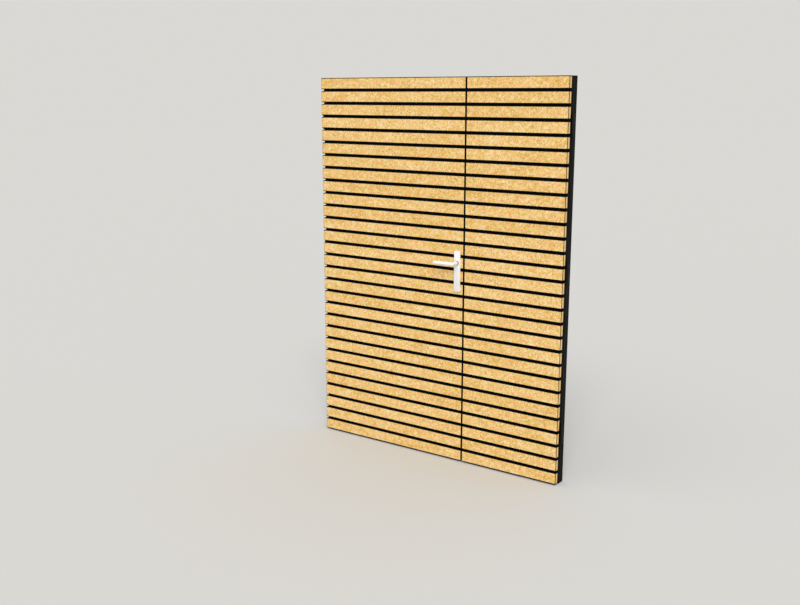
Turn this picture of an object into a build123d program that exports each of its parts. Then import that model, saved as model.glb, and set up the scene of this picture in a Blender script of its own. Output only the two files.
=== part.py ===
# Shed double door: a wide active leaf and a narrow second leaf, clad in
# horizontal slats over black panels, hung in a black timber frame.
# Seen from outside, +X runs to the right, +Y into the shed and +Z up.
# The origin is the middle of the sill's underside.
import os
from math import atan2, degrees, hypot, radians, tan

from build123d import *

# Slat cladding
slat_count = 29
slat_height = 60.0
slat_gap = 10.0
slat_thickness = 22.0
slat_edge_chamfer = 2.0

# Leaves
left_leaf_width = 932.0
right_leaf_width = 557.0
meeting_gap = 6.0
ground_clearance = 8.0
panel_thickness = 12.0
stile_width = 70.0
stile_thickness = 44.0
meeting_bevel_angle = 3.0
top_rail_height = 70.0
lock_rail_height = 140.0
bottom_rail_height = 140.0
brace_width = 80.0
brace_thickness = 32.0
joinery_chamfer = 3.0

# Frame
jamb_width = 70.0
frame_depth = 46.0
head_height = 70.0
sill_height = 35.0
running_gap = 5.0
leaf_clearance = 5.0
seal_width = 12.0
seal_inset = 6.0
seal_clearance = 0.3
seal_lip = 1.5
fixing_hole_radius = 4.25
fixing_group_heights = (300.0, 1700.0)
fixing_spacing = 200.0

# Hinges
hinge_heights = (270.0, 1100.0, 1800.0)
hinge_barrel_radius = 7.0
hinge_barrel_clearance = 1.0
hinge_pin_radius = 4.0
hinge_pin_clearance = 0.05
hinge_pin_head_radius = 6.0
hinge_pin_head_height = 3.0
hinge_knuckles = 3
hinge_knuckle_height = 33.0
hinge_knuckle_clearance = 0.4
hinge_plate_thickness = 3.0
frame_plate_width = 50.0
strap_length = 125.0

# Handle set
backset = 34.5
spindle_row = 15
plate_width = 35.0
plate_height = 214.0
plate_thickness = 9.0
plate_above_spindle = 62.0
plate_edge_chamfer = 1.2
plate_round_corner = 4.0
journal_radius = 8.0
journal_clearance = 0.08
collar_radius = 11.0
collar_height = 4.0
collar_clearance = 0.3
neck_reach = 45.0
bar_radius = 9.5
bar_length = 112.0
bar_end_chamfer = 1.0
spindle_size = 8.0
spindle_clearance = 0.05
spindle_engagement = 30.0
spindle_hole_radius = 11.0

# Latch, strike and bolts
forend_width = 22.0
forend_height = 160.0
forend_thickness = 3.0
forend_recess = 0.2
latch_height = 24.0
latch_width = 14.0
latch_length = 20.0
latch_clearance = 0.2
strike_mouth_height = 32.0
strike_mouth_width = 18.0
strike_pocket_depth = 20.0
bolt_case_width = 34.0
bolt_case_length = 150.0
bolt_case_thickness = 4.0
bolt_guide_height = 16.0
bolt_guide_width = 24.0
bolt_guide_length = 22.0
bolt_rod_radius = 5.0
bolt_rod_clearance = 0.05
bolt_rod_length = 140.0
bolt_knob_radius = 4.0
bolt_knob_reach = 16.0
bolt_knob_clearance = 1.0
bolt_end_distance = 12.0

# Places worked out from the sizes
slat_pitch = slat_height + slat_gap
leaf_height = slat_count * slat_height + (slat_count - 1) * slat_gap
leaf_bottom = ground_clearance
leaf_top = leaf_bottom + leaf_height
overall_width = left_leaf_width + meeting_gap + right_leaf_width
outer_left = -overall_width / 2
outer_right = overall_width / 2
meeting_left = outer_left + left_leaf_width
meeting_right = outer_right - right_leaf_width

frame_front = -frame_depth / 2
frame_back = frame_depth / 2
panel_back = frame_front - running_gap
panel_front = panel_back - panel_thickness
slat_front = panel_front - slat_thickness
stile_back = panel_back + stile_thickness

opening_left = outer_left + jamb_width
opening_right = outer_right - jamb_width
head_bottom = leaf_top - head_height
frame_leaf_bottom = sill_height + leaf_clearance
frame_leaf_top = head_bottom - leaf_clearance
spindle_x = meeting_left - backset
spindle_height = leaf_bottom + spindle_row * slat_pitch + slat_height / 2
lock_rail_bottom = spindle_height - lock_rail_height / 2
lock_rail_top = spindle_height + lock_rail_height / 2

hinge_height = hinge_knuckles * hinge_knuckle_height + (hinge_knuckles - 1) * hinge_knuckle_clearance
hinge_axis_y = frame_front - hinge_barrel_radius
hinge_axis_out = hinge_barrel_radius + hinge_barrel_clearance


def block(x0, x1, y0, y1, z0, z1):
    """A box between two corners."""
    return Pos((x0 + x1) / 2, (y0 + y1) / 2, (z0 + z1) / 2) * Box(abs(x1 - x0), abs(y1 - y0), abs(z1 - z0))


def rod_x(x0, x1, y, z, radius):
    """A round bar along X."""
    return Pos((x0 + x1) / 2, y, z) * Rot(0, 90, 0) * Cylinder(radius, abs(x1 - x0))


def rod_y(x, y0, y1, z, radius):
    """A round bar along Y."""
    return Pos(x, (y0 + y1) / 2, z) * Rot(90, 0, 0) * Cylinder(radius, abs(y1 - y0))


def rod_z(x, y, z0, z1, radius):
    """A round bar along Z."""
    return Pos(x, y, (z0 + z1) / 2) * Cylinder(radius, abs(z1 - z0))


def save(name, *solids):
    """Write one named piece, of one solid or several like ones that don't touch."""
    shapes = [solid for item in solids for solid in item.solids()]
    export_step(shapes[0] if len(shapes) == 1 else Compound(children=shapes), f"parts/{name}.step")


def slats(x0, x1):
    """The cladding of one leaf: equal horizontal slats with eased long edges."""
    board = block(x0, x1, slat_front, panel_front, leaf_bottom, leaf_bottom + slat_height)
    front_edges = board.edges().filter_by(Axis.X).group_by(Axis.Y)[0]
    board = chamfer(front_edges, slat_edge_chamfer)
    return [Pos(0, 0, row * slat_pitch) * board for row in range(slat_count)]


def frame_pieces():
    """Jambs, head and sill, butted at the corners, with fixing holes in the jambs."""
    for side, x_out, x_in in (("left", outer_left, opening_left), ("right", outer_right, opening_right)):
        jamb = block(x_out, x_in, frame_front, frame_back, 0, leaf_top)
        inner_edges = jamb.edges().filter_by(Axis.Z).sort_by(Axis.Y)[-2:]
        jamb = chamfer(inner_edges, joinery_chamfer)
        for middle in fixing_group_heights:
            for z in (middle - fixing_spacing / 2, middle + fixing_spacing / 2):
                jamb -= rod_x(x_out, x_in, 0, z, fixing_hole_radius)
        save(f"frame_{side}_jamb", jamb)
    head = block(opening_left, opening_right, frame_front, frame_back, head_bottom, leaf_top)
    save("frame_head", head)
    sill = block(opening_left, opening_right, frame_front, frame_back, 0, sill_height)
    save("frame_sill", sill)


def seal_strip(length):
    """A rubber strip along Z with a raised lip in the middle of its front."""
    depth = running_gap - seal_clearance
    base = depth - seal_lip
    with BuildSketch(Plane.XY) as outline:
        with BuildLine():
            Polyline(
                (-seal_width / 2, 0),
                (-seal_width / 2, -base),
                (-seal_width / 4, -base),
                (-seal_lip / 2, -depth),
                (seal_lip / 2, -depth),
                (seal_width / 4, -base),
                (seal_width / 2, -base),
                (seal_width / 2, 0),
                close=True,
            )
        make_face()
    return extrude(outline.sketch, length)


def frame_seals():
    """Four strips on the frame's front face, round the opening."""
    side_z0 = sill_height - seal_inset
    side_z1 = head_bottom + seal_inset
    side_x = opening_right + seal_inset + seal_width / 2
    upright = seal_strip(side_z1 - side_z0)
    level = Rot(0, 90, 0) * seal_strip(2 * side_x - seal_width)
    level_x0 = -(side_x - seal_width / 2)
    save(
        "frame_seals",
        Pos(-side_x, frame_front, side_z0) * upright,
        Pos(side_x, frame_front, side_z0) * upright,
        Pos(level_x0, frame_front, side_z1 + seal_width / 2) * level,
        Pos(level_x0, frame_front, side_z0 - seal_width / 2) * level,
    )


def hinge(side, z_middle):
    """One hinge: a plate on the frame that carries the pin, and a strap on the leaf that turns on it."""
    sign = 1 if side == "right" else -1
    edge = sign * overall_width / 2
    axis_x = edge + sign * hinge_axis_out
    bottom = z_middle - hinge_height / 2
    top = z_middle + hinge_height / 2
    pitch = hinge_knuckle_height + hinge_knuckle_clearance
    bore = rod_z(axis_x, hinge_axis_y, bottom, top, hinge_pin_radius + hinge_pin_clearance)
    plate_front = frame_front - hinge_plate_thickness
    strap_front = panel_back - hinge_plate_thickness
    plate = block(edge - sign * frame_plate_width, edge, plate_front, frame_front, bottom, top)
    strap = block(edge - sign * strap_length, edge, strap_front, panel_back, bottom, top)
    for index in range(hinge_knuckles):
        z0 = bottom + index * pitch
        z1 = z0 + hinge_knuckle_height
        barrel = rod_z(axis_x, hinge_axis_y, z0, z1, hinge_barrel_radius)
        if index % 2 == 0:
            plate += block(edge, axis_x, plate_front, frame_front, z0, z1) + barrel
        else:
            strap += block(edge, axis_x, strap_front, panel_back, z0, z1) + barrel
    pin = rod_z(axis_x, hinge_axis_y, bottom, top + hinge_pin_head_height, hinge_pin_radius)
    head = rod_z(axis_x, hinge_axis_y, top, top + hinge_pin_head_height, hinge_pin_head_radius)
    return plate + pin + head, strap - bore


def hinge_sets():
    """Three hinges a leaf."""
    for side in ("left", "right"):
        plates, straps = zip(*(hinge(side, z) for z in hinge_heights))
        save(f"{side}_hinge_frame_plates", *plates)
        save(f"{side}_hinge_leaf_straps", *straps)


def strap_seats(side):
    """The shallow recesses that let the straps into the panel's back."""
    sign = 1 if side == "right" else -1
    edge = sign * overall_width / 2
    depth = panel_back - hinge_plate_thickness
    seats = []
    for z in hinge_heights:
        z0, z1 = z - hinge_height / 2, z + hinge_height / 2
        seats.append(block(edge - sign * strap_length, edge, depth, panel_back, z0, z1))
    return seats


def bevelled_stile(x_meeting, x_inner):
    """A meeting stile whose free edge falls back so that it clears the other leaf."""
    fall = stile_thickness * tan(radians(meeting_bevel_angle))
    inward = 1 if x_inner > x_meeting else -1
    with BuildSketch(Plane.XY) as outline:
        with BuildLine():
            Polyline(
                (x_meeting, panel_back),
                (x_meeting + inward * fall, stile_back),
                (x_inner, stile_back),
                (x_inner, panel_back),
                close=True,
            )
        make_face()
    return Pos(0, 0, frame_leaf_bottom) * extrude(outline.sketch, frame_leaf_top - frame_leaf_bottom)


def brace(x_low, x_high, z_low, z_high):
    """A diagonal from the hinge side's foot up to the free side, cut to fit its field."""
    back = panel_back + brace_thickness
    field = block(min(x_low, x_high), max(x_low, x_high), panel_back, back, z_low, z_high)
    length = hypot(x_high - x_low, z_high - z_low)
    tilt = degrees(atan2(z_high - z_low, x_high - x_low))
    bar = Rot(0, -tilt, 0) * Box(2 * length, brace_thickness, brace_width)
    middle = Pos((x_low + x_high) / 2, panel_back + brace_thickness / 2, (z_low + z_high) / 2)
    return (middle * bar) & field


def leaf(side, x0, x1, cuts, free_stile_cuts, spindle_slat_cuts):
    """One leaf: slats, panel, stiles, rails and braces."""
    hinge_at = x0 if side == "left" else x1
    free_at = x1 if side == "left" else x0
    inward = 1 if side == "left" else -1
    hinge_edge = hinge_at + inward * (jamb_width + leaf_clearance)
    hinge_inner = hinge_edge + inward * stile_width
    free_inner = free_at - inward * stile_width
    boards = slats(x0, x1)
    for cut in spindle_slat_cuts:
        boards = [board - cut for board in boards]
    save(f"{side}_slats", *boards)
    panel = block(x0, x1, panel_front, panel_back, leaf_bottom, leaf_top)
    for cut in strap_seats(side) + cuts:
        panel -= cut
    save(f"{side}_backing_panel", panel)
    hinge_stile = block(hinge_edge, hinge_inner, panel_back, stile_back, frame_leaf_bottom, frame_leaf_top)
    save(f"{side}_hinge_stile", hinge_stile)
    free_stile = bevelled_stile(free_at, free_inner)
    for cut in cuts + free_stile_cuts:
        free_stile -= cut
    save(f"{side}_meeting_stile", free_stile)
    low_x, high_x = min(hinge_inner, free_inner), max(hinge_inner, free_inner)
    rails = (
        ("bottom_rail", frame_leaf_bottom, frame_leaf_bottom + bottom_rail_height),
        ("lock_rail", lock_rail_bottom, lock_rail_top),
        ("top_rail", frame_leaf_top - top_rail_height, frame_leaf_top),
    )
    for name, z0, z1 in rails:
        save(f"{side}_{name}", block(low_x, high_x, panel_back, stile_back, z0, z1))
    fields = (("lower_brace", rails[0][2], rails[1][1]), ("upper_brace", rails[1][2], rails[2][1]))
    for name, z0, z1 in fields:
        save(f"{side}_{name}", brace(hinge_inner, free_inner, z0, z1))


def handle_plate(y_face, outward):
    """A plain long plate with a low collar, bored as the lever's bearing."""
    top = spindle_height + plate_above_spindle
    y_front = y_face + outward * plate_thickness
    y_collar = y_front + outward * collar_height
    x0, x1 = spindle_x - plate_width / 2, spindle_x + plate_width / 2
    plate = block(x0, x1, y_face, y_front, top - plate_height, top)
    plate = fillet(plate.edges().filter_by(Axis.Y), plate_round_corner)
    rim = plate.faces().sort_by(Axis.Y)[-1 if outward > 0 else 0].edges()
    plate = chamfer(rim, plate_edge_chamfer)
    plate += rod_y(spindle_x, y_front, y_collar, spindle_height, collar_radius)
    return plate - rod_y(spindle_x, y_face, y_collar, spindle_height, journal_radius + journal_clearance)


def lever(y_face, outward):
    """A lever handle: a journal in the plate, then a neck and a bar that meet in a mitre."""
    y_collar = y_face + outward * (plate_thickness + collar_height)
    y_neck = y_collar + outward * collar_clearance
    y_bar = y_face + outward * (plate_thickness + neck_reach)
    journal = rod_y(spindle_x, y_face + outward * collar_clearance, y_neck, spindle_height, journal_radius)
    with BuildLine(Plane.XY.offset(spindle_height)) as route:
        Polyline((spindle_x, y_neck), (spindle_x, y_bar), (spindle_x - bar_length, y_bar))
    start = Plane(origin=(spindle_x, y_neck, spindle_height), z_dir=(0, outward, 0))
    grip = sweep(start * Circle(bar_radius), path=route.wire(), transition=Transition.RIGHT)
    grip = chamfer(grip.faces().sort_by(Axis.X)[0].edges(), bar_end_chamfer)
    half = spindle_size / 2 + spindle_clearance
    y_socket = y_face + outward * spindle_engagement
    socket = block(
        spindle_x - half, spindle_x + half, y_face, y_socket, spindle_height - half, spindle_height + half
    )
    return journal + grip - socket


def spindle():
    """The square bar that joins the two levers through the stile."""
    half = spindle_size / 2
    y0 = slat_front - spindle_engagement
    y1 = stile_back + spindle_engagement
    return block(spindle_x - half, spindle_x + half, y0, y1, spindle_height - half, spindle_height + half)


def edge_plate(x_edge, inward, y_middle, z_middle):
    """A plate let into a stile's edge, square to the leaf's face."""
    x0 = x_edge + inward * forend_recess
    x1 = x0 + inward * forend_thickness
    half_y, half_z = forend_width / 2, forend_height / 2
    plate = block(x0, x1, y_middle - half_y, y_middle + half_y, z_middle - half_z, z_middle + half_z)
    return fillet(plate.edges().filter_by(Axis.X), plate_round_corner)


def lock_pieces():
    """Handle plates, levers, spindle, latch and its forend, and the cuts they need."""
    y_middle = panel_back + stile_thickness / 2
    fall = stile_thickness / 2 * tan(radians(meeting_bevel_angle))
    edge = meeting_left - fall
    forend = edge_plate(edge, -1, y_middle, spindle_height)
    seat = edge_plate(edge, -1, y_middle, spindle_height) + Pos(forend_thickness, 0, 0) * forend
    latch_x1 = edge - forend_recess
    latch = block(
        latch_x1 - latch_length, latch_x1, y_middle - latch_width / 2, y_middle + latch_width / 2,
        spindle_height - latch_height / 2, spindle_height + latch_height / 2,
    )
    room = block(
        latch_x1 - latch_length, latch_x1,
        y_middle - latch_width / 2 - latch_clearance, y_middle + latch_width / 2 + latch_clearance,
        spindle_height - latch_height / 2 - latch_clearance, spindle_height + latch_height / 2,
    )
    save("lock_forend", forend - room)
    save("latch_bolt", latch)
    save("outside_handle_plate", handle_plate(slat_front, -1))
    save("inside_handle_plate", handle_plate(stile_back, 1))
    save("outside_lever", lever(slat_front, -1))
    save("inside_lever", lever(stile_back, 1))
    save("spindle", spindle())
    hole = rod_y(spindle_x, slat_front, stile_back, spindle_height, spindle_hole_radius)
    return [hole], [seat, room], [hole]


def strike_pieces():
    """The strike plate on the second leaf, and the pocket behind it."""
    y_middle = panel_back + stile_thickness / 2
    fall = stile_thickness / 2 * tan(radians(meeting_bevel_angle))
    edge = meeting_right + fall
    plate = edge_plate(edge, 1, y_middle, spindle_height)
    seat = plate + Pos(-forend_thickness, 0, 0) * plate
    pocket_end = edge + forend_recess + strike_pocket_depth
    pocket = block(
        edge, pocket_end, y_middle - strike_mouth_width / 2, y_middle + strike_mouth_width / 2,
        spindle_height - strike_mouth_height / 2, spindle_height + strike_mouth_height / 2,
    )
    save("strike_plate", plate - pocket)
    return [], [seat, pocket], []


def bolt(z_end, toward):
    """A barrel bolt on the second leaf's meeting stile, drawn back from the frame."""
    x = meeting_right + stile_width / 2
    y0 = stile_back
    y1 = y0 + bolt_case_thickness
    y_rod = y1 + bolt_guide_height / 2
    z_out = z_end - toward * bolt_end_distance
    z_in = z_out - toward * bolt_case_length
    case = block(x - bolt_case_width / 2, x + bolt_case_width / 2, y0, y1, z_out, z_in)
    case = fillet(case.edges().filter_by(Axis.Y), plate_round_corner)
    for z in (z_out, z_in + toward * bolt_guide_length):
        z_far = z - toward * bolt_guide_length
        half = bolt_guide_width / 2
        guide = block(x - half, x + half, y1, y1 + bolt_guide_height, z, z_far)
        case += chamfer(guide.edges().filter_by(Axis.Z).sort_by(Axis.Y)[-2:], bolt_guide_height / 4)
    case -= rod_z(x, y_rod, z_out, z_in, bolt_rod_radius + bolt_rod_clearance)
    rod = rod_z(x, y_rod, z_out, z_out - toward * bolt_rod_length, bolt_rod_radius)
    z_knob = z_in + toward * (bolt_guide_length + bolt_knob_radius + bolt_knob_clearance)
    knob = rod_y(x, y_rod, y_rod + bolt_knob_reach, z_knob, bolt_knob_radius)
    knob = chamfer(knob.edges().group_by(Axis.Y)[-1], bolt_knob_radius / 4)
    return case, rod + knob


def bolt_pieces():
    """Top and bottom bolts with their knobs between the guides."""
    for name, z_end, toward in (("top", frame_leaf_top, 1), ("bottom", frame_leaf_bottom, -1)):
        case, rod = bolt(z_end, toward)
        save(f"{name}_bolt_case", case)
        save(f"{name}_bolt_rod", rod)


os.makedirs("parts", exist_ok=True)
frame_pieces()
frame_seals()
hinge_sets()
leaf("left", outer_left, meeting_left, *lock_pieces())
leaf("right", meeting_right, outer_right, *strike_pieces())
bolt_pieces()
print(f"leaf height {leaf_height:.0f}, overall width {overall_width:.0f}")
print(f"depth {frame_back - slat_front:.0f} without the handle set")
print(f"spindle at x {spindle_x:.1f}, z {spindle_height:.1f}")
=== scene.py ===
"""Shed double door: its surfaces, small fittings, light and camera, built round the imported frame."""

import math

import bmesh
import bpy
from bpy.props import FloatProperty, FloatVectorProperty, IntProperty, PointerProperty
from mathutils import Matrix, Vector


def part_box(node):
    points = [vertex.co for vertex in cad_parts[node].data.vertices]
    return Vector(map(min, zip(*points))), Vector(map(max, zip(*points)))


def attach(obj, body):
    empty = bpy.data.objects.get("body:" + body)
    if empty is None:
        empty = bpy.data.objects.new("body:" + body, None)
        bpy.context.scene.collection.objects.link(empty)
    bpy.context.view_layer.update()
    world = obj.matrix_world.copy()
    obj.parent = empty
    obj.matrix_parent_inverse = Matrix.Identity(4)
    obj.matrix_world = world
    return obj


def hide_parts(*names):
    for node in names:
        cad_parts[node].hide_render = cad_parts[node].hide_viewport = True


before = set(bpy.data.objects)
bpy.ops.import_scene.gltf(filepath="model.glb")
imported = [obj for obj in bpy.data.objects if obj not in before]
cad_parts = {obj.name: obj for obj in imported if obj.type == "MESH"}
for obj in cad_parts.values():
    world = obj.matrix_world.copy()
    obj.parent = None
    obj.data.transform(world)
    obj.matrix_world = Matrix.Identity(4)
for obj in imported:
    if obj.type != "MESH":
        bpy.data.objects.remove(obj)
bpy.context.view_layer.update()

bl_info = {
    "name": "Shed double door",
    "version": (1, 0, 0),
    "blender": (4, 5, 0),
    "location": "3D View > Sidebar > Shed Door",
    "description": "Builds the finished surfaces of a slatted shed double door",
    "category": "Object",
}


# Places of the small fittings on the solids, in metres
SPINDLE_HOLE = 0.011
COLLAR_HEIGHT = 0.004
COLLAR_CLEARANCE = 0.0003
PLATE_SCREW_INSET = 0.014
HINGE_PLATE = 0.003
HINGE_HEIGHT = 0.0998
HINGE_SPACE = 0.3
FRAME_PLATE_SCREWS = ((0.016, -0.036), (0.034, -0.018), (0.016, 0.0), (0.034, 0.018), (0.016, 0.036))
STRAP_SCREWS = ((0.020, -0.030), (0.052, -0.030), (0.036, 0.0), (0.020, 0.030), (0.052, 0.030))
EDGE_SCREW_INSET = 0.012
BOLT_CASE = 0.004
BOLT_SCREW_X = 0.0115
BOLT_SCREW_Z = 0.028
SEAL_CLEARANCE = 0.0005
SEAL_INSET = 0.003
SEAL_ROUND = 0.0018

# Limits for joining, rounding and shading the meshes
MERGE_DISTANCE = 0.00001
FLAT_ANGLE = math.radians(0.5)
SHARP_ANGLE = math.radians(30)
CREASE_ANGLE = math.radians(32)
SHORTEST_EDGE = 0.0004
SHORTEST_TIMBER_EDGE = 0.012
STRAIGHT_ON = 0.99

# The slanting line along which a mesh's elements are put in order
ORDER_LINE = (1.0, 1.618, 2.236)

# Sides of the round forms
SCREW_SIDES = 24
DRILL_SIDES = 48
LEVER_SIDES = 64

# Layers of wood strands, the lowest first: angle in degrees, scale, and the share that is left out
STRAND_LAYERS = ((8, 1.0, 0.0), (-30, 0.9, 0.55), (52, 0.8, 0.62), (-68, 0.65, 0.70))

# Coatings: roughness from their smoothest to their roughest spots, size of their grain, and how strongly
# the glossy and the satin ones reflect
WHITE_COAT = (0.24, 0.34)
BLACK_COAT = (0.38, 0.50)
# The black collar round the lever's neck is painted shade where the neck meets the plate
SHADE_RING_COAT = (0.42, 0.55)
COAT_GRAIN = 0.0015
GLOSSY_SHINE = 0.5
SATIN_SHINE = 0.15

# The stage
FLOOR_RADIUS = 60.0
LAMP_AIM = (0, 0, 1.0)
KEY_PLACE = (3.55, -5.91, 8.2)
SHEEN_PLACE = (3.8, -3.2, 2.6)
SHEEN_SIZE = 2.4
CAMERA_PLACE = (2.7506, -4.2573, 1.9496)
CAMERA_TURN = (math.radians(77.729), 0.0, math.radians(35.265))
CAMERA_LENS = 43.42
CAMERA_SENSOR = 36.0
CAMERA_REACH = 200.0

# Sizes and colours that a user would change


class CladdingSettings(bpy.types.PropertyGroup):
    count: IntProperty(name="Slats", description="Slats on each leaf", default=29, min=1)
    height: FloatProperty(
        name="Slat height", description="Height of one slat", default=0.060, unit="LENGTH"
    )
    gap: FloatProperty(
        name="Slat gap", description="Open gap between two slats", default=0.010, unit="LENGTH"
    )
    edge_radius: FloatProperty(
        name="Edge radius", description="Rounding of the slats' edges", default=0.0024, unit="LENGTH"
    )
    # Width of the black band along each slat's long edges: painted shade that widens the dark gaps between
    # slats
    painted_shade_width: FloatProperty(
        name="Sealed edge", description="Black border along the slats' long edges",
        default=0.0040, unit="LENGTH",
    )
    strand_length: FloatProperty(
        name="Strand length", description="Length of one pale wood strand", default=0.020, unit="LENGTH"
    )
    strand_width: FloatProperty(
        name="Strand width", description="Width of one pale wood strand", default=0.0068, unit="LENGTH"
    )
    strand_thickness: FloatProperty(
        name="Strand thickness", description="Thickness of one wood strand", default=0.0014, unit="LENGTH"
    )
    pale: FloatVectorProperty(
        name="Pale strand", description="Lightest wood strands", subtype="COLOR",
        default=(1.0, 0.79, 0.44),
    )
    golden: FloatVectorProperty(
        name="Golden strand", description="Main colour of the wood", subtype="COLOR",
        default=(0.87, 0.57, 0.185),
    )
    brown: FloatVectorProperty(
        name="Brown strand", description="Darkest wood strands", subtype="COLOR",
        default=(0.66, 0.36, 0.060),
    )
    pink: FloatVectorProperty(
        name="Pink strand", description="Warm strands among the golden ones", subtype="COLOR",
        default=(0.98, 0.49, 0.22),
    )
    ochre: FloatVectorProperty(
        name="Ochre strand", description="Yellow-green strands among the golden ones", subtype="COLOR",
        default=(0.72, 0.49, 0.05),
    )
    board_variation: FloatProperty(
        name="Board variation", description="How far the boards differ in tone",
        default=0.05, min=0.0, max=0.5,
    )


class TimberSettings(bpy.types.PropertyGroup):
    edge_radius: FloatProperty(
        name="Edge radius", description="Rounding of the timbers' edges", default=0.0025, unit="LENGTH"
    )
    # The black stain also colours the slats' edge bands, their faces in the gaps and their ends at the
    # meeting gap, as painted shade
    stain: FloatVectorProperty(
        name="Black stain", description="Colour of the stained timber", subtype="COLOR",
        default=(0.0032, 0.0030, 0.0030),
    )
    worn_stain: FloatVectorProperty(
        name="Thin stain", description="Colour where the grain shows through the stain", subtype="COLOR",
        default=(0.015, 0.0125, 0.0105),
    )


class FittingSettings(bpy.types.PropertyGroup):
    bar_radius: FloatProperty(
        name="Lever radius", description="Radius of the lever's bar", default=0.0095, unit="LENGTH"
    )
    bar_tip_radius: FloatProperty(
        name="Bar tip", description="Rounding of the lever bar's end", default=0.0016, unit="LENGTH"
    )
    edge_radius: FloatProperty(
        name="Edge radius", description="Rounding of the fittings' edges", default=0.0005, unit="LENGTH"
    )
    screw_radius: FloatProperty(
        name="Screw head", description="Radius of the screw heads", default=0.0040, unit="LENGTH"
    )
    screw_height: FloatProperty(
        name="Screw height", description="How far the screw heads stand proud", default=0.0006, unit="LENGTH"
    )
    white: FloatVectorProperty(
        name="Handle white", description="Paint of the handle set", subtype="COLOR",
        default=(0.96, 0.96, 0.96),
    )
    # Also the black of the plate's collar, painted shade round the lever's neck
    black: FloatVectorProperty(
        name="Hinge black", description="Coating of the hinges", subtype="COLOR",
        default=(0.006, 0.006, 0.0065),
    )
    steel: FloatVectorProperty(
        name="Steel", description="Latch, strike and bolts", subtype="COLOR",
        default=(0.52, 0.52, 0.53),
    )


class StageSettings(bpy.types.PropertyGroup):
    floor: FloatVectorProperty(
        name="Floor", description="Colour of the pale floor", subtype="COLOR",
        default=(0.646, 0.640, 0.614),
    )
    backdrop: FloatVectorProperty(
        name="Backdrop", description="Colour seen all round the floor", subtype="COLOR",
        default=(0.700, 0.693, 0.665),
    )
    sky_strength: FloatProperty(
        name="Sky", description="Strength of the even light from all round", default=0.72, min=0.0
    )
    key_strength: FloatProperty(
        name="Key light", description="Strength of the broad light from the front right",
        default=1.58, min=0.0,
    )
    key_spread: FloatProperty(
        name="Key spread", description="How broad the key light is", subtype="ANGLE",
        default=math.radians(26),
    )
    sheen_power: FloatProperty(
        name="Sheen light", description="Power of the low light that shows the sheen",
        default=2.0, unit="POWER",
    )


# Materials


def start_material(name):
    """An empty node material with a principled shader."""
    material = bpy.data.materials.new(name)
    material.use_nodes = True
    tree = material.node_tree
    tree.nodes.clear()
    output = tree.nodes.new("ShaderNodeOutputMaterial")
    shader = tree.nodes.new("ShaderNodeBsdfPrincipled")
    tree.links.new(shader.outputs["BSDF"], output.inputs["Surface"])
    return material, tree, shader


def add(tree, kind, inputs=(), **settings):
    """One node with its settings, and its inputs set or linked."""
    node = tree.nodes.new(kind)
    for name, value in settings.items():
        setattr(node, name, value)
    for key, value in dict(inputs).items():
        if isinstance(value, bpy.types.NodeSocket):
            tree.links.new(value, node.inputs[key])
        else:
            node.inputs[key].default_value = value
    return node


def sized(tree, sizes, turn=(0, 0, 0), middle=(0, 0, 0)):
    """Object coordinates measured in the given sizes, after a turn about the middle."""
    inputs = {"Vector": object_place(tree), "Location": middle, "Rotation": turn, "Scale": sizes}
    return add(tree, "ShaderNodeMapping", inputs, vector_type="TEXTURE").outputs["Vector"]


def maths(tree, operation, first, second=0.0):
    """The result of one sum."""
    return add(tree, "ShaderNodeMath", {0: first, 1: second}, operation=operation).outputs[0]


def mixed(tree, factor, first, second):
    """Two colours mixed."""
    node = add(tree, "ShaderNodeMix", data_type="RGBA")
    for socket, value in ((node.inputs[0], factor), (node.inputs[6], first), (node.inputs[7], second)):
        if isinstance(value, bpy.types.NodeSocket):
            tree.links.new(value, socket)
        else:
            socket.default_value = value
    return node.outputs[2]


def ranged(tree, value, low, high, to_low=0.0, to_high=1.0):
    """A value brought from one range into another and held there."""
    inputs = {"Value": value, "From Min": low, "From Max": high, "To Min": to_low, "To Max": to_high}
    return add(tree, "ShaderNodeMapRange", inputs).outputs[0]


def noise(tree, place, detail, distortion=0.0):
    """Soft noise between nought and one."""
    inputs = {"Vector": place, "Scale": 1.0, "Detail": detail, "Distortion": distortion}
    return add(tree, "ShaderNodeTexNoise", inputs).outputs[0]


def object_place(tree):
    """The point's place in the object's own coordinates."""
    return add(tree, "ShaderNodeTexCoord").outputs["Object"]


def solid(colour):
    """A colour with full alpha."""
    return (*colour, 1.0)


def coated(tree, shader, colour, roughness):
    """Give the shader its colour and its roughness."""
    tree.links.new(colour, shader.inputs["Base Color"])
    tree.links.new(roughness, shader.inputs["Roughness"])


def dimmed(colour, share):
    """A darker shade of a colour."""
    return tuple(channel * share for channel in colour)


def bumped(tree, shader, height, strength, distance):
    """Surface relief from a height."""
    bump = add(tree, "ShaderNodeBump", {"Strength": strength, "Distance": distance, "Height": height})
    tree.links.new(bump.outputs["Normal"], shader.inputs["Normal"])


def blended(tree, factor, first, second):
    """Two values mixed."""
    node = add(tree, "ShaderNodeMix", data_type="FLOAT")
    for socket, value in zip((node.inputs[0], node.inputs[2], node.inputs[3]), (factor, first, second)):
        tree.links.new(value, socket)
    return node.outputs[0]


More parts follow.
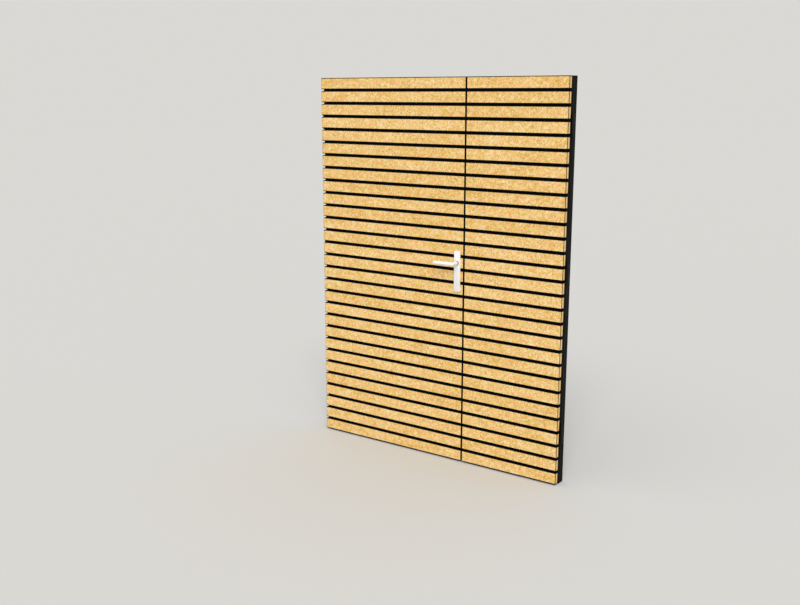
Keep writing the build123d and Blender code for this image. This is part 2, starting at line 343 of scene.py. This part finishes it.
def strand_layer(tree, settings, angle, scale):
    """One layer of flat strands lying the same way: each strand's tone, presence, tint and relief."""
    sizes = (settings.strand_length * scale, settings.strand_thickness * scale, settings.strand_width * scale)
    turn = (0, math.radians(angle), 0)
    # The middle moves with the angle, so that no two layers show the same strands
    place = sized(tree, sizes, turn=turn, middle=(0.013 * angle, 0.0007 * angle, 0))
    wobble = add(tree, "ShaderNodeTexNoise", {"Vector": place, "Scale": 0.9, "Detail": 2.0}).outputs["Color"]
    waver = add(tree, "ShaderNodeVectorMath", {0: wobble, 3: 0.12}, operation="SCALE").outputs[0]
    bent = add(tree, "ShaderNodeVectorMath", {0: place, 1: waver}, operation="ADD").outputs[0]
    cells = add(tree, "ShaderNodeTexVoronoi", {"Vector": bent, "Scale": 1.0})
    parts = add(tree, "ShaderNodeSeparateColor", {"Color": cells.outputs["Color"]})
    fibre_place = sized(tree, (sizes[0] * 0.8, sizes[1], 0.0008), turn=turn)
    streaks = ranged(tree, noise(tree, fibre_place, 3.0), 0.3, 0.7, -0.24, 0.24)
    tone = maths(tree, "ADD", parts.outputs[0], streaks)
    relief = maths(tree, "ADD", maths(tree, "MULTIPLY", parts.outputs[1], 0.8), streaks)
    return tone, parts.outputs[1], parts.outputs[2], relief


def board_row(tree, settings, bottom):
    """How many rows of slats lie below a point, with the part of its own row as the fraction."""
    height = add(tree, "ShaderNodeSeparateXYZ", {0: object_place(tree)}).outputs[2]
    return maths(tree, "DIVIDE", maths(tree, "SUBTRACT", height, bottom), settings.height + settings.gap)


def board_tone(tree, settings, row):
    """A tone of its own for each board."""
    board = {"W": maths(tree, "FLOOR", row)}
    chance = add(tree, "ShaderNodeTexWhiteNoise", board, noise_dimensions="1D").outputs[0]
    return ranged(tree, chance, 0.0, 1.0, -settings.board_variation, settings.board_variation)


def painted_shade_mask(tree, settings, row):
    """One along a board's two long edges, where black is painted as shade beside the gaps, nought between
    them.
    """
    rise = maths(tree, "MULTIPLY", maths(tree, "FRACT", row), settings.height + settings.gap)
    from_middle = maths(tree, "ABSOLUTE", maths(tree, "SUBTRACT", rise, settings.height / 2))
    return maths(tree, "GREATER_THAN", from_middle, settings.height / 2 - settings.painted_shade_width)


def slat_wood(settings, bottom, gap_shade_colour):
    """Pale golden wood of short overlapping strands in many tones, with black bands along the long edges as
    painted shade beside the gaps.
    """
    material, tree, shader = start_material("golden_strand_wood")
    lowest, *upper = STRAND_LAYERS
    tone, _, tint, relief = strand_layer(tree, settings, *lowest[:2])
    for angle, scale, left_out in upper:
        top_tone, presence, top_tint, top_relief = strand_layer(tree, settings, angle, scale)
        there = maths(tree, "GREATER_THAN", presence, left_out)
        tone = blended(tree, there, tone, top_tone)
        tint = blended(tree, there, tint, top_tint)
        relief = blended(tree, there, relief, top_relief)
    cloud = noise(tree, sized(tree, (0.16, 0.16, 0.05)), 2.0)
    tone = maths(tree, "ADD", tone, ranged(tree, cloud, 0.3, 0.7, -0.12, 0.12))
    row = board_row(tree, settings, bottom)
    tone = maths(tree, "ADD", tone, board_tone(tree, settings, row))
    colour = mixed(tree, ranged(tree, tone, 0.02, 0.45), solid(settings.brown), solid(settings.golden))
    colour = mixed(tree, ranged(tree, tone, 0.50, 1.0), colour, solid(settings.pale))
    colour = mixed(tree, ranged(tree, tint, 0.70, 0.95, 0.0, 0.75), colour, solid(settings.pink))
    colour = mixed(tree, ranged(tree, tint, 0.26, 0.04, 0.0, 0.65), colour, solid(settings.ochre))
    # Black along each board's long edges: painted shade that widens the dark gaps between slats
    colour = mixed(tree, painted_shade_mask(tree, settings, row), colour, solid(gap_shade_colour))
    coated(tree, shader, colour, ranged(tree, tone, 0.0, 1.0, 0.62, 0.46))
    shader.inputs["Specular IOR Level"].default_value = 0.35
    bumped(tree, shader, relief, 0.7, 0.0005)
    return material


def stretched(across, length, along):
    """Sizes for a pattern that is drawn out along X, Y or Z."""
    return [length if axis == along else across for axis in "XYZ"]


def stained_timber(settings, name, along, turn=(0, 0, 0)):
    """Black-stained planed timber, with its grain along X, Y or Z and some grain showing through."""
    material, tree, shader = start_material(name)
    fine = noise(tree, sized(tree, stretched(0.0035, 0.22, along), turn=turn), 4.0, 0.3)
    broad = noise(tree, sized(tree, stretched(0.035, 0.9, along), turn=turn), 3.0, 0.9)
    folds = maths(tree, "PINGPONG", maths(tree, "MULTIPLY", broad, 9.0), 0.5)
    rings = maths(tree, "MULTIPLY", ranged(tree, folds, 0.05, 0.5), 0.3)
    grain_height = maths(tree, "ADD", maths(tree, "MULTIPLY", fine, 0.7), rings)
    showing = ranged(tree, grain_height, 0.45, 0.80)
    colour = mixed(tree, showing, solid(settings.stain), solid(settings.worn_stain))
    coated(tree, shader, colour, ranged(tree, grain_height, 0.3, 0.8, 0.74, 0.56))
    shader.inputs["Specular IOR Level"].default_value = 0.08
    bumped(tree, shader, grain_height, 0.5, 0.0004)
    return material


def painted_metal(name, colour, roughness, shine):
    """Powder-coated metal with a fine orange-peel skin."""
    material, tree, shader = start_material(name)
    peel = noise(tree, sized(tree, (COAT_GRAIN,) * 3), 2.0)
    dust = noise(tree, sized(tree, (0.03,) * 3), 5.0)
    paint = mixed(tree, ranged(tree, dust, 0.5, 0.75), solid(colour), solid(dimmed(colour, 0.93)))
    coated(tree, shader, paint, ranged(tree, dust, 0.3, 0.7, *roughness))
    shader.inputs["Specular IOR Level"].default_value = shine
    bumped(tree, shader, peel, 0.12, 0.0002)
    return material


def brushed_steel(name, colour, along):
    """Steel brushed along X, Y or Z."""
    material, tree, shader = start_material(name)
    lines = noise(tree, sized(tree, stretched(0.0004, 0.03, along)), 3.0)
    metal = mixed(tree, ranged(tree, lines, 0.3, 0.7), solid(colour), solid(dimmed(colour, 0.75)))
    coated(tree, shader, metal, ranged(tree, lines, 0.3, 0.7, 0.28, 0.42))
    shader.inputs["Metallic"].default_value = 1.0
    bumped(tree, shader, lines, 0.15, 0.0001)
    return material


def seal_rubber():
    """Matt black rubber with a faint bloom."""
    material, tree, shader = start_material("rubber_seal_finish")
    bloom = noise(tree, sized(tree, (0.006, 0.006, 0.02)), 4.0)
    black, bloomed = solid((0.010, 0.010, 0.010)), solid((0.022, 0.022, 0.022))
    rubber = mixed(tree, ranged(tree, bloom, 0.4, 0.8), black, bloomed)
    coated(tree, shader, rubber, ranged(tree, bloom, 0.3, 0.7, 0.72, 0.86))
    bumped(tree, shader, bloom, 0.1, 0.0002)
    return material


# Meshes


def new_piece(name, mesh_builder, material, body):
    """A named piece made from a bmesh, riding on its body."""
    mesh = bpy.data.meshes.new(name)
    mesh_builder.to_mesh(mesh)
    mesh_builder.free()
    mesh.materials.append(material)
    piece = bpy.data.objects.new(name, mesh)
    bpy.context.scene.collection.objects.link(piece)
    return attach(piece, body)


def add_block(bm, low, high):
    """A plain block between two corners; returns its vertices."""
    middle = (Vector(low) + Vector(high)) / 2
    sizes = Vector(high) - Vector(low)
    matrix = Matrix.Translation(middle) @ Matrix.Diagonal((*sizes, 1.0))
    return bmesh.ops.create_cube(bm, size=1.0, matrix=matrix)["verts"]


def round_edges(bm, edges, radius, segments=3):
    """Edges rounded, with only the new faces shaded smooth."""
    made = bmesh.ops.bevel(
        bm, geom=edges, offset=radius, offset_type="OFFSET", segments=segments, profile=0.5,
        affect="EDGES", clamp_overlap=True, material=-1,
    )
    for face in made["faces"]:
        face.smooth = True


def set_in_order(bm):
    """Put the mesh's elements in the order of their places along one slanting line, the same each time."""
    line = Vector(ORDER_LINE)
    bm.verts.sort(key=lambda vert: vert.co.dot(line))
    bm.edges.sort(key=lambda edge: (edge.verts[0].co + edge.verts[1].co).dot(line))
    bm.faces.sort(key=lambda face: face.calc_center_median().dot(line))


def copied_node(node):
    """A CAD node's mesh, joined up and with its flat faces whole."""
    bm = bmesh.new()
    bm.from_mesh(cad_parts[node].data)
    bmesh.ops.remove_doubles(bm, verts=bm.verts[:], dist=MERGE_DISTANCE)
    bmesh.ops.dissolve_limit(bm, angle_limit=FLAT_ANGLE, verts=bm.verts[:], edges=bm.edges[:])
    return bm


def eased_copy(node, radius, material, body, shortest=SHORTEST_TIMBER_EDGE, round_form=False):
    """A CAD node's own shape with its sharp edges rounded, shown in the node's place."""
    bm = copied_node(node)
    edges = [
        edge for edge in bm.edges
        if len(edge.link_faces) == 2
        and edge.calc_length() > shortest
        and edge.calc_face_angle() > SHARP_ANGLE
    ]
    round_edges(bm, edges, radius, segments=2 if round_form else 3)
    piece = new_piece(f"{node}_eased", bm, material, body)
    if round_form:
        shade_round(piece)
    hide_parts(node)
    return piece


def shade_round(piece):
    """Smooth shading, with the edges that turn sharply kept crisp."""
    piece.data.polygons.foreach_set("use_smooth", [True] * len(piece.data.polygons))
    piece.data.set_sharp_from_angle(angle=CREASE_ANGLE)


def dressed(node, material):
    """A CAD node kept as it is, with its finish."""
    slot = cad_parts[node].material_slots[0]
    slot.link = "OBJECT"
    slot.material = material


def bored(piece, start, end, radius):
    """Cut a round hole through a piece, along the line from start to end."""
    way = end - start
    stand = Matrix.Translation((start + end) / 2) @ way.to_track_quat("Z", "Y").to_matrix().to_4x4()
    bm = bmesh.new()
    bmesh.ops.create_cone(
        bm, cap_ends=True, cap_tris=False, segments=DRILL_SIDES, radius1=radius, radius2=radius,
        depth=way.length, matrix=stand,
    )
    mesh = bpy.data.meshes.new("drill")
    bm.to_mesh(mesh)
    bm.free()
    drill = bpy.data.objects.new("drill", mesh)
    bpy.context.scene.collection.objects.link(drill)
    cut = piece.modifiers.new("hole", "BOOLEAN")
    cut.operation = "DIFFERENCE"
    cut.solver = "EXACT"
    cut.object = drill
    holed = bpy.data.meshes.new_from_object(piece.evaluated_get(bpy.context.evaluated_depsgraph_get()))
    piece.modifiers.clear()
    piece.data = holed
    bpy.data.objects.remove(drill)
    bpy.data.meshes.remove(mesh)


def screw_head(bm, place, normal, radius, height):
    """A low round screw head with an eased rim and a six-lobed socket, seated at place."""
    toward = Vector(normal).normalized()
    rooted = radius * 0.1
    stand = toward.to_track_quat("Z", "Y").to_matrix().to_4x4()
    middle = Vector(place) + toward * (height - rooted) / 2
    verts = bmesh.ops.create_cone(
        bm, cap_ends=True, cap_tris=False, segments=SCREW_SIDES, radius1=radius, radius2=radius,
        depth=height + rooted, matrix=Matrix.Translation(middle) @ stand,
    )["verts"]
    faces = {face for vert in verts for face in vert.link_faces}
    top = max(faces, key=lambda face: face.calc_center_median().dot(toward))
    bmesh.ops.inset_region(bm, faces=[top], thickness=radius * 0.14, depth=0.0)
    bmesh.ops.translate(bm, vec=toward * height * 0.3, verts=top.verts[:])
    bmesh.ops.inset_region(bm, faces=[top], thickness=radius * 0.40, depth=0.0)
    centre = top.calc_center_median()
    for index, vert in enumerate(top.verts):
        if index % 4 < 2:
            vert.co = centre + (vert.co - centre) * 0.72
    socket = bmesh.ops.extrude_discrete_faces(bm, faces=[top])["faces"][0]
    bmesh.ops.translate(bm, vec=-toward * (height + rooted * 0.5), verts=socket.verts[:])


def screws(name, places, normal, sizes, material, body):
    """A group of like screw heads on one body."""
    bm = bmesh.new()
    for place in places:
        screw_head(bm, Vector(place), normal, sizes.screw_radius, sizes.screw_height)
    piece = new_piece(name, bm, material, body)
    shade_round(piece)
    return piece


# Operators, one for each group of pieces


class DOOR_OT_slats(bpy.types.Operator):
    """Lay the rounded wooden slats on both leaves"""

    bl_idname = "shed_door.slats"
    bl_label = "Slats"

    def execute(self, context):
        sizes = context.scene.shed_cladding
        wood = slat_wood(sizes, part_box("left_slats")[0].z, context.scene.shed_timber.stain)
        # Black timber finish for the slats' edges, used as painted shade of the gaps
        edge = stained_timber(context.scene.shed_timber, "painted_gap_shade", "X")
        for side in ("left", "right"):
            low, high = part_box(f"{side}_slats")
            bm = bmesh.new()
            for row in range(sizes.count):
                bottom = low.z + row * (sizes.height + sizes.gap)
                add_block(bm, (low.x, low.y, bottom), (high.x, high.y, bottom + sizes.height))
            round_edges(bm, bm.edges[:], sizes.edge_radius)
            bm.normal_update()
            meeting_end = 1 if side == "left" else -1
            # The wood is bare but for its long sides, rounded edges and ends at the meeting gap, which are
            # black as painted shade of the gaps
            for face in bm.faces:
                bare = max(abs(face.normal.y), -face.normal.x * meeting_end) > STRAIGHT_ON
                face.material_index = 0 if bare else 1
            piece = new_piece(f"{side}_rounded_slats", bm, wood, f"{side}_leaf")
            piece.data.materials.append(edge)
            if side == "left":
                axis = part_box("spindle")
                middle = (axis[0] + axis[1]) / 2
                start = Vector((middle.x, low.y - SPINDLE_HOLE, middle.z))
                end = Vector((middle.x, high.y + SPINDLE_HOLE, middle.z))
                bored(piece, start, end, SPINDLE_HOLE)
            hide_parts(f"{side}_slats")
        return {"FINISHED"}


class DOOR_OT_timber(bpy.types.Operator):
    """Finish the black frame, the leaf frames and the backing panels"""

    bl_idname = "shed_door.timber"
    bl_label = "Black timber"

    def execute(self, context):
        sizes = context.scene.shed_timber
        upright = stained_timber(sizes, "black_stain_upright", "Z")
        level = stained_timber(sizes, "black_stain_level", "X")
        for node in ("frame_left_jamb", "frame_right_jamb"):
            eased_copy(node, sizes.edge_radius, upright, "frame")
        for node in ("frame_head", "frame_sill"):
            eased_copy(node, sizes.edge_radius, level, "frame")
        for side in ("left", "right"):
            body = f"{side}_leaf"
            for part in ("hinge_stile", "meeting_stile"):
                eased_copy(f"{side}_{part}", sizes.edge_radius, upright, body)
            for part in ("top_rail", "lock_rail", "bottom_rail"):
                eased_copy(f"{side}_{part}", sizes.edge_radius, level, body)
            for part in ("upper_brace", "lower_brace"):
                low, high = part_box(f"{side}_{part}")
                rise = math.atan2(high.z - low.z, high.x - low.x)
                lean = -rise if side == "left" else rise
                grain = stained_timber(sizes, f"black_stain_{side}_{part}", "X", turn=(0, lean, 0))
                eased_copy(f"{side}_{part}", sizes.edge_radius, grain, body)
            eased_copy(f"{side}_backing_panel", sizes.edge_radius / 3, upright, body)
        return {"FINISHED"}


class DOOR_OT_handles(bpy.types.Operator):
    """Make the white plates and the mitred round levers, inside and outside"""

    bl_idname = "shed_door.handles"
    bl_label = "Handles"

    def execute(self, context):
        sizes = context.scene.shed_fittings
        white = painted_metal("white_powder_coat", sizes.white, WHITE_COAT, GLOSSY_SHINE)
        steel = brushed_steel("spindle_steel", sizes.steel, "Y")
        # The black collar ring is painted shade round the lever's neck
        ring = painted_metal("painted_shade_ring", sizes.black, SHADE_RING_COAT, GLOSSY_SHINE)
        for face, outward in (("outside", -1), ("inside", 1)):
            self.plate(face, outward, white, ring, sizes)
            self.lever(face, outward, white, sizes)
        eased_copy("spindle", sizes.edge_radius, steel, "lever")
        low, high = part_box("inside_handle_plate")
        face = high.y - COLLAR_HEIGHT
        middle = (low.x + high.x) / 2
        places = [(middle, face, z) for z in (low.z + PLATE_SCREW_INSET, high.z - PLATE_SCREW_INSET)]
        screws("inside_plate_screws", places, (0, 1, 0), sizes, white, "left_leaf")
        return {"FINISHED"}

    def plate(self, face, outward, material, ring, sizes):
        """A plate's own shape with eased edges, and its raised collar black as painted shade round the
        lever's neck.
        """
        node = f"{face}_handle_plate"
        piece = eased_copy(
            node, sizes.edge_radius, material, "left_leaf", SHORTEST_EDGE, round_form=True
        )
        piece.data.materials.append(ring)
        low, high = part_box(node)
        collar_end = low.y if outward < 0 else high.y
        collar_foot = collar_end - outward * (COLLAR_HEIGHT - 2 * sizes.edge_radius)
        # The raised collar takes the black, as painted shade round the lever's neck
        for polygon in piece.data.polygons:
            if (polygon.center.y - collar_foot) * outward > 0:
                polygon.material_index = 1

    def lever(self, face, outward, material, sizes):
        """A ring carried out along the neck, turned in the mitre and carried along the bar."""
        low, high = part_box(f"{face}_lever")
        spindle_low, spindle_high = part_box("spindle")
        axis = (spindle_low + spindle_high) / 2
        plate_low, plate_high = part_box(f"{face}_handle_plate")
        collar_y = plate_low.y if outward < 0 else plate_high.y
        bar_y = low.y + sizes.bar_radius if outward < 0 else high.y - sizes.bar_radius
        bm = bmesh.new()
        start = Vector((axis.x, collar_y + outward * COLLAR_CLEARANCE, axis.z))
        stand = Matrix.Translation(start) @ Matrix.Rotation(math.radians(90), 4, "X")
        ring = bmesh.ops.create_circle(
            bm, cap_ends=True, segments=LEVER_SIDES, radius=sizes.bar_radius, matrix=stand
        )["verts"]
        base = ring[0].link_faces[0]
        edges, verts = self.carry(bm, base.edges[:])
        # The neck ends in a plane that leans 45 degrees, and the bar starts there
        for vert in verts:
            vert.co.y = bar_y + outward * (vert.co.x - axis.x)
        mitre = edges
        edges, verts = self.carry(bm, edges)
        for vert in verts:
            vert.co.x = low.x
        bmesh.ops.contextual_create(bm, geom=edges)
        bmesh.ops.recalc_face_normals(bm, faces=bm.faces[:])
        round_edges(bm, edges, sizes.bar_tip_radius, segments=4)
        round_edges(bm, [edge for edge in mitre if edge.is_valid], sizes.edge_radius, segments=2)
        set_in_order(bm)
        piece = new_piece(f"{face}_round_lever", bm, material, "lever")
        shade_round(piece)
        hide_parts(f"{face}_lever")

    def carry(self, bm, edges):
        """Extrude a closed ring of edges; returns its new edges and vertices."""
        grown = bmesh.ops.extrude_edge_only(bm, edges=edges)["geom"]
        verts = [item for item in grown if isinstance(item, bmesh.types.BMVert)]
        kept = set(verts)
        rim = [item for item in grown if isinstance(item, bmesh.types.BMEdge) and kept.issuperset(item.verts)]
        return rim, verts


class DOOR_OT_hinges(bpy.types.Operator):
    """Coat the hinges and set their screws"""

    bl_idname = "shed_door.hinges"
    bl_label = "Hinges"

    def execute(self, context):
        sizes = context.scene.shed_fittings
        black = painted_metal("black_powder_coat", sizes.black, BLACK_COAT, SATIN_SHINE)
        for side, sign in (("left", -1), ("right", 1)):
            frame_node, leaf_node = f"{side}_hinge_frame_plates", f"{side}_hinge_leaf_straps"
            low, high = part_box(f"frame_{side}_jamb")
            outer = low.x if side == "left" else high.x
            rows = self.rows(frame_node)
            frame_face = low.y - HINGE_PLATE
            leaf_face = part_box(f"{side}_backing_panel")[1].y
            parts = (
                (frame_node, "frame", "frame_plate", frame_face, -1, FRAME_PLATE_SCREWS),
                (leaf_node, f"{side}_leaf", "strap", leaf_face, 1, STRAP_SCREWS),
            )
            for node, body, part, face, outward, pattern in parts:
                eased_copy(
                    node, sizes.edge_radius, black, body, SHORTEST_EDGE, round_form=True
                )
                places = [(outer - sign * inset, face, z + dz) for z in rows for inset, dz in pattern]
                name = f"{side}_{part}_screws"
                screws(name, places, (0, outward, 0), sizes, black, body)
        return {"FINISHED"}

    def rows(self, node):
        """The height of each hinge's middle, read from the gaps between the plates of one node."""
        heights = sorted({round(vert.co.z, 4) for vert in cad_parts[node].data.vertices})
        starts = [z for z, before in zip(heights[1:], heights) if z - before > HINGE_SPACE]
        return [z + HINGE_HEIGHT / 2 for z in [heights[0], *starts]]


class DOOR_OT_latch(bpy.types.Operator):
    """Finish the latch, its forend, the strike plate and the bolts, with their screws"""

    bl_idname = "shed_door.latch"
    bl_label = "Latch and bolts"

    def execute(self, context):
        sizes = context.scene.shed_fittings
        steel = brushed_steel("brushed_steel", sizes.steel, "Z")
        black = painted_metal("black_bolt_coat", sizes.black, BLACK_COAT, SATIN_SHINE)
        fittings = (
            ("lock_forend", "left_leaf", steel, "lock_steel"),
            ("latch_bolt", "left_leaf", steel, "lock_steel"),
            ("strike_plate", "right_leaf", steel, "lock_steel"),
            ("top_bolt_case", "right_leaf", black, "black_steel"),
            ("top_bolt_rod", "right_leaf", steel, "lock_steel"),
            ("bottom_bolt_case", "right_leaf", black, "black_steel"),
            ("bottom_bolt_rod", "right_leaf", steel, "lock_steel"),
        )
        for node, body, material, slot in fittings:
            eased_copy(node, sizes.edge_radius / 2, material, body, SHORTEST_EDGE, round_form=True)
        for node, side in (("lock_forend", 1), ("strike_plate", -1)):
            low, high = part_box(node)
            face = high.x if side > 0 else low.x
            middle = (low.y + high.y) / 2
            places = [(face, middle, z) for z in (low.z + EDGE_SCREW_INSET, high.z - EDGE_SCREW_INSET)]
            body = "left_leaf" if side > 0 else "right_leaf"
            screws(f"{node}_screws", places, (side, 0, 0), sizes, steel, body)
        for end in ("top", "bottom"):
            low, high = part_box(f"{end}_bolt_case")
            middle = (low + high) / 2
            places = [
                (middle.x + dx, low.y + BOLT_CASE, middle.z + dz)
                for dx in (-BOLT_SCREW_X, BOLT_SCREW_X) for dz in (-BOLT_SCREW_Z, BOLT_SCREW_Z)
            ]
            screws(f"{end}_bolt_screws", places, (0, 1, 0), sizes, black, "right_leaf")
        return {"FINISHED"}


class DOOR_OT_seals(bpy.types.Operator):
    """Finish the rubber seals round the opening and close the meeting gap with one more"""

    bl_idname = "shed_door.seals"
    bl_label = "Seals"

    def execute(self, context):
        rubber = seal_rubber()
        dressed("frame_seals", rubber)
        low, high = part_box("left_backing_panel")
        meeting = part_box("right_backing_panel")[0].x
        bm = bmesh.new()
        start = (high.x, low.y + SEAL_INSET, low.z + SEAL_INSET)
        end = (meeting - SEAL_CLEARANCE, high.y - SEAL_INSET, high.z - SEAL_INSET)
        add_block(bm, start, end)
        outer = [
            edge for edge in bm.edges
            if all(abs(vert.co.x - end[0]) < MERGE_DISTANCE for vert in edge.verts)
        ]
        round_edges(bm, outer, SEAL_ROUND)
        new_piece("meeting_seal", bm, rubber, "left_leaf")
        return {"FINISHED"}


class DOOR_OT_stage(bpy.types.Operator):
    """Lay the pale floor and set the lights and the camera"""

    bl_idname = "shed_door.stage"
    bl_label = "Stage"

    def execute(self, context):
        settings = context.scene.shed_stage
        self.floor(settings)
        self.world(context.scene, settings)
        key = self.lamp("key_light", "SUN", KEY_PLACE)
        key.energy = settings.key_strength
        key.angle = settings.key_spread
        sheen = self.lamp("sheen_light", "AREA", SHEEN_PLACE)
        sheen.energy = settings.sheen_power
        sheen.size = SHEEN_SIZE
        self.camera(context.scene)
        context.scene.view_settings.view_transform = "Standard"
        return {"FINISHED"}

    def floor(self, settings):
        """A floor wide enough to reach the backdrop."""
        bm = bmesh.new()
        bmesh.ops.create_circle(bm, cap_ends=True, segments=96, radius=FLOOR_RADIUS)
        mesh = bpy.data.meshes.new("pale_floor")
        bm.to_mesh(mesh)
        bm.free()
        material, _, shader = start_material("pale_floor")
        shader.inputs["Base Color"].default_value = solid(settings.floor)
        shader.inputs["Roughness"].default_value = 0.9
        shader.inputs["Specular IOR Level"].default_value = 0.0
        mesh.materials.append(material)
        floor = bpy.data.objects.new("pale_floor", mesh)
        bpy.context.scene.collection.objects.link(floor)

    def world(self, scene, settings):
        """Even white light from all round, with the backdrop's colour seen by the camera."""
        world = bpy.data.worlds.new("soft_studio")
        world.use_nodes = True
        tree = world.node_tree
        tree.nodes.clear()
        light = add(tree, "ShaderNodeBackground", {"Color": (1, 1, 1, 1), "Strength": settings.sky_strength})
        seen = add(tree, "ShaderNodeBackground", {"Color": solid(settings.backdrop), "Strength": 1.0})
        ray = add(tree, "ShaderNodeLightPath")
        inputs = {0: ray.outputs["Is Camera Ray"], 1: light.outputs[0], 2: seen.outputs[0]}
        mix = add(tree, "ShaderNodeMixShader", inputs)
        output = add(tree, "ShaderNodeOutputWorld", {"Surface": mix.outputs[0]})
        output.is_active_output = True
        scene.world = world

    def lamp(self, name, kind, place):
        """A light aimed at the middle of the door; returns its data."""
        data = bpy.data.lights.new(name, kind)
        lamp = bpy.data.objects.new(name, data)
        lamp.location = place
        aim = Vector(LAMP_AIM) - Vector(place)
        lamp.rotation_euler = aim.to_track_quat("-Z", "Y").to_euler()
        bpy.context.scene.collection.objects.link(lamp)
        return data

    def camera(self, scene):
        """The photograph's view: from the right and a little above, 35 degrees off square."""
        data = bpy.data.cameras.new("front_right_camera")
        data.sensor_width = CAMERA_SENSOR
        data.lens = CAMERA_LENS
        data.clip_end = CAMERA_REACH
        camera = bpy.data.objects.new("front_right_camera", data)
        camera.location = CAMERA_PLACE
        camera.rotation_euler = CAMERA_TURN
        scene.collection.objects.link(camera)
        scene.camera = camera


class DOOR_PT_panel(bpy.types.Panel):
    """The door's settings and steps in the sidebar"""

    bl_label = "Shed Door"
    bl_idname = "DOOR_PT_panel"
    bl_space_type = "VIEW_3D"
    bl_region_type = "UI"
    bl_category = "Shed Door"

    def draw(self, context):
        for name, group in SETTINGS.items():
            box = self.layout.box()
            for key in group.__annotations__:
                box.prop(getattr(context.scene, name), key)
        for operator in OPERATORS:
            self.layout.operator(operator.bl_idname)


SETTINGS = {
    "shed_cladding": CladdingSettings,
    "shed_timber": TimberSettings,
    "shed_fittings": FittingSettings,
    "shed_stage": StageSettings,
}
OPERATORS = (
    DOOR_OT_slats,
    DOOR_OT_timber,
    DOOR_OT_handles,
    DOOR_OT_hinges,
    DOOR_OT_latch,
    DOOR_OT_seals,
    DOOR_OT_stage,
)


def register():
    for name, group in SETTINGS.items():
        bpy.utils.register_class(group)
        setattr(bpy.types.Scene, name, PointerProperty(type=group))
    for item in (*OPERATORS, DOOR_PT_panel):
        bpy.utils.register_class(item)


def unregister():
    for item in (DOOR_PT_panel, *reversed(OPERATORS)):
        bpy.utils.unregister_class(item)
    for name, group in reversed(SETTINGS.items()):
        delattr(bpy.types.Scene, name)
        bpy.utils.unregister_class(group)


def run(operator):
    """Call an operator by its own name, and stop if it didn't finish."""
    group, name = operator.bl_idname.split(".")
    if getattr(getattr(bpy.ops, group), name)() != {"FINISHED"}:
        raise RuntimeError(f"{operator.bl_idname} didn't finish")


def main():
    register()
    for operator in OPERATORS:
        run(operator)


if __name__ == "__main__":
    main()
